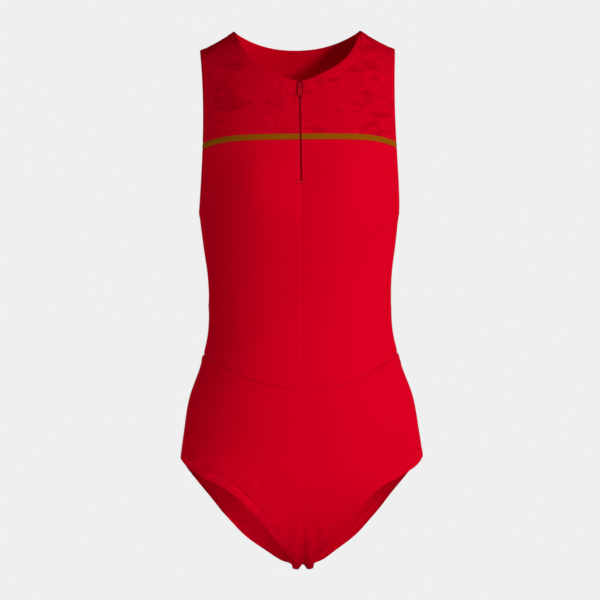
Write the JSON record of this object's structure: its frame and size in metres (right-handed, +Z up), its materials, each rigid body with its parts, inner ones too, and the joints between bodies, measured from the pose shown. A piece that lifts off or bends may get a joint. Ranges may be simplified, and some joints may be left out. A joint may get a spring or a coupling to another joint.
{
  "type": "running bodysuit",
  "caption": "Red sleeveless one-piece running bodysuit with a zipped, printed yoke and a gold strip, filled out as worn.",
  "frame": {"origin": "midway between the two points where the neckline meets the shoulder seams, where the wearer's shoulders carry the garment", "axes": "+Z up, -Y towards the garment's front, +X towards the wearer's left"},
  "size_m": [0.329, 0.2491, 0.7315],
  "materials": {
    "red_knit": "bright red satin warp knit",
    "yoke_knit": "darker red knit with a printed heather pattern",
    "gold_strip": "matt olive gold strip",
    "zip_tape": "woven zip tape, dark red",
    "zip_metal": "dark red lacquered zip slider and pull"
  },
  "bodies": {
    "garment": {"front_yoke_left": "yoke_knit", "front_yoke_right": "yoke_knit", "yoke_strip_left": "gold_strip", "yoke_strip_right": "gold_strip", "front_body_left": "red_knit", "front_body_right": "red_knit", "front_brief": "red_knit", "back_body": "red_knit", "back_brief": "red_knit", "zip_tape_left": "zip_tape", "zip_tape_right": "zip_tape", "zip_slider": "zip_metal"},
    "pull": {"zip_pull": "zip_metal"}
  },
  "joints": [
    {"name": "pull_hinge", "type": "hinge", "parent": "garment", "child": "pull", "pos_m": [0, -0.08613, -0.08194], "axis": [-1, 0, 0], "range_deg": [0, 165]}
  ]
}
